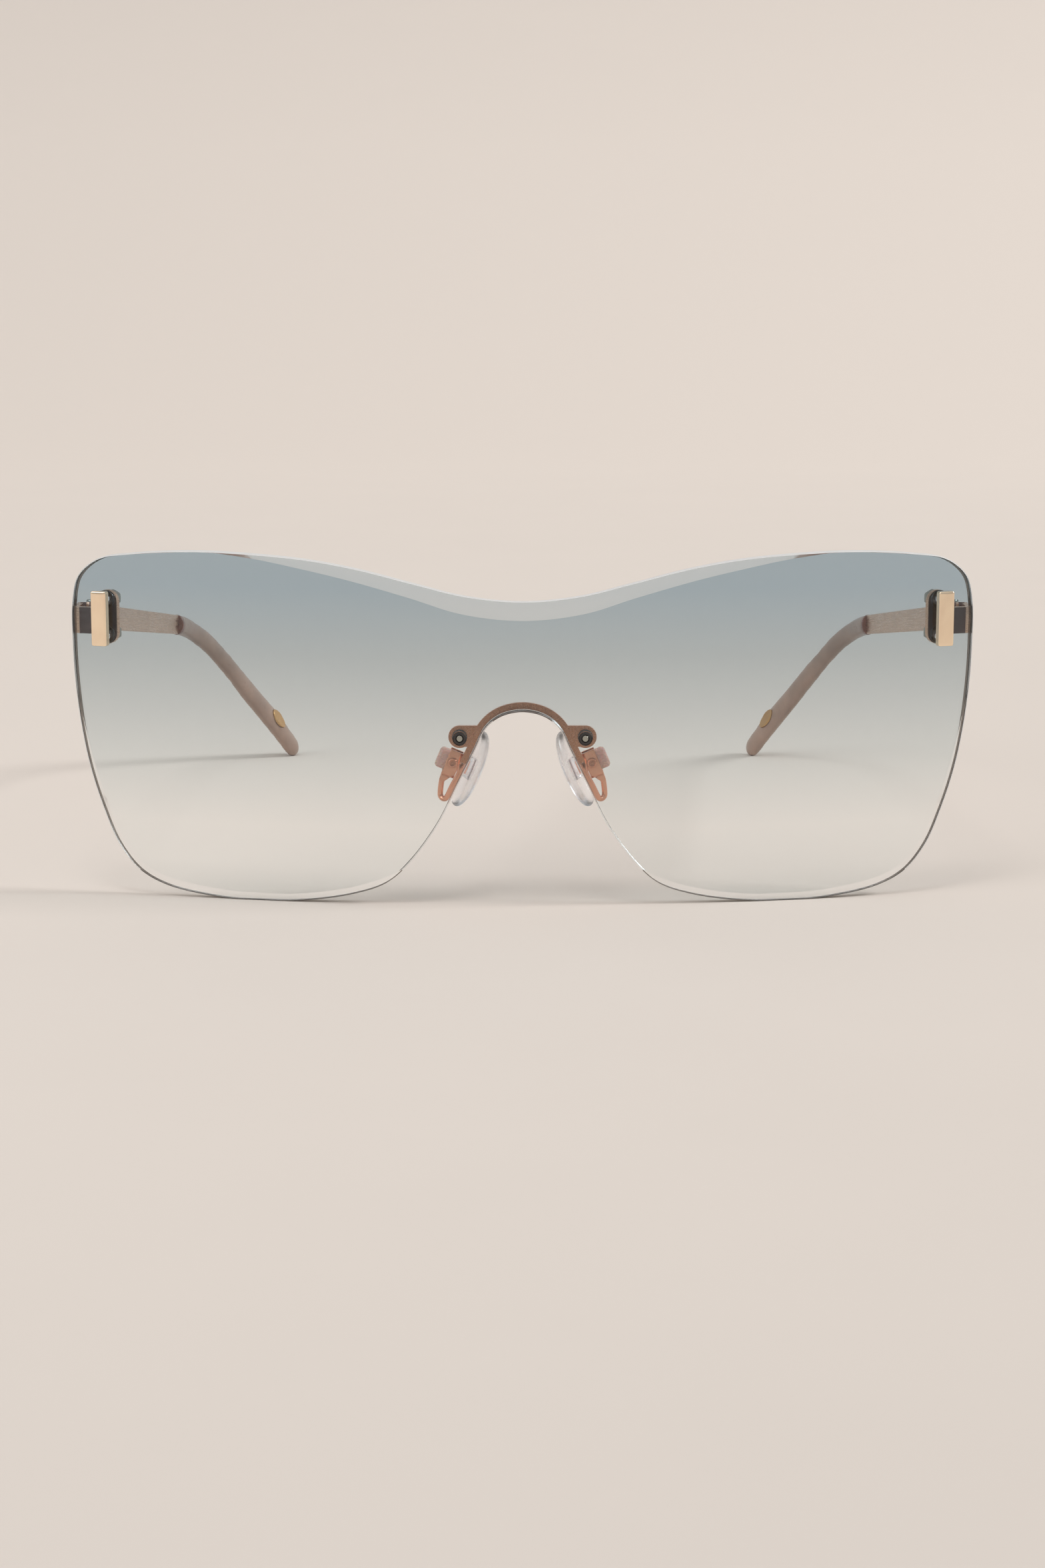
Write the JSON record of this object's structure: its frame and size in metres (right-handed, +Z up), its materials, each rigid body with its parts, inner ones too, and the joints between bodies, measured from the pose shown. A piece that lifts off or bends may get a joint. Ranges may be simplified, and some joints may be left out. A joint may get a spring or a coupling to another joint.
{
  "type": "sunglasses",
  "caption": "Rimless shield sunglasses with one curved tinted lens, a metal nose bracket with rocking pads, and folding flat metal temples with curved plastic tips.",
  "frame": {"origin": "middle of the base of the bounding box, on the surface that the open sunglasses stand on", "axes": "+X right as seen from the front, +Y from the lens back along the temples, +Z up; mirror symmetric about X = 0"},
  "size_m": [0.143, 0.1478, 0.0553],
  "materials": {
    "tinted_lens": "polished clear sheet with a thin grey-green tint on the front face, fading downward",
    "polished_gold_plate": "polished pale gold plate",
    "rose_gold_plate": "polished rose gold plate",
    "gunmetal_plate": "satin warm gunmetal plate on steel",
    "bright_steel": "turned and tumbled steel",
    "clear_nylon": "moulded clear",
    "dark_nylon": "moulded dark",
    "clear_silicone": "moulded clear and soft",
    "pink_polycarbonate": "moulded, tinted pink",
    "taupe_acetate": "tumbled translucent taupe",
    "red_brown_acetate": "tumbled red-brown"
  },
  "bodies": {
    "front": {"shield_lens": "tinted_lens", "bridge_bracket": "rose_gold_plate", "front_plate_left": "polished_gold_plate", "upper_plate_bushing_left": "clear_nylon", "lower_plate_bushing_left": "clear_nylon", "upper_plate_nut_left": "bright_steel", "lower_plate_nut_left": "bright_steel", "endpiece_left": "gunmetal_plate", "hinge_screw_left": "bright_steel", "bridge_bushing_left": "dark_nylon", "bridge_screw_left": "bright_steel", "pad_arm_left": "rose_gold_plate", "pad_screw_left": "rose_gold_plate", "front_plate_right": "polished_gold_plate", "upper_plate_bushing_right": "clear_nylon", "lower_plate_bushing_right": "clear_nylon", "upper_plate_nut_right": "bright_steel", "lower_plate_nut_right": "bright_steel", "endpiece_right": "gunmetal_plate", "hinge_screw_right": "bright_steel", "bridge_bushing_right": "dark_nylon", "bridge_screw_right": "bright_steel", "pad_arm_right": "rose_gold_plate", "pad_screw_right": "rose_gold_plate"},
    "left_temple": {"temple_left": "gunmetal_plate", "tip_collar_left": "red_brown_acetate", "temple_tip_left": "taupe_acetate", "tip_plaque_left": "polished_gold_plate"},
    "left_pad": {"nose_pad_left": "clear_silicone", "pad_lug_left": "pink_polycarbonate"},
    "right_temple": {"temple_right": "gunmetal_plate", "tip_collar_right": "red_brown_acetate", "temple_tip_right": "taupe_acetate", "tip_plaque_right": "polished_gold_plate"},
    "right_pad": {"nose_pad_right": "clear_silicone", "pad_lug_right": "pink_polycarbonate"}
  },
  "joints": [
    {"name": "left_temple_fold", "type": "hinge", "parent": "front", "child": "left_temple", "pos_m": [-0.06902, -0.05339, 0.0436], "axis": [0, -0.1392, -0.9903], "range_deg": [0, 82]},
    {"name": "right_temple_fold", "type": "hinge", "parent": "front", "child": "right_temple", "pos_m": [0.06902, -0.05339, 0.0436], "axis": [0, 0.1392, 0.9903], "range_deg": [0, 72]},
    {"name": "left_pad_rock", "type": "hinge", "parent": "front", "child": "left_pad", "pos_m": [-0.01095, -0.0665, 0.02191], "axis": [0, 1, 0], "range_deg": [-8, 8]},
    {"name": "right_pad_rock", "type": "hinge", "parent": "front", "child": "right_pad", "pos_m": [0.01095, -0.0665, 0.02191], "axis": [0, 1, 0], "range_deg": [-8, 8]}
  ]
}
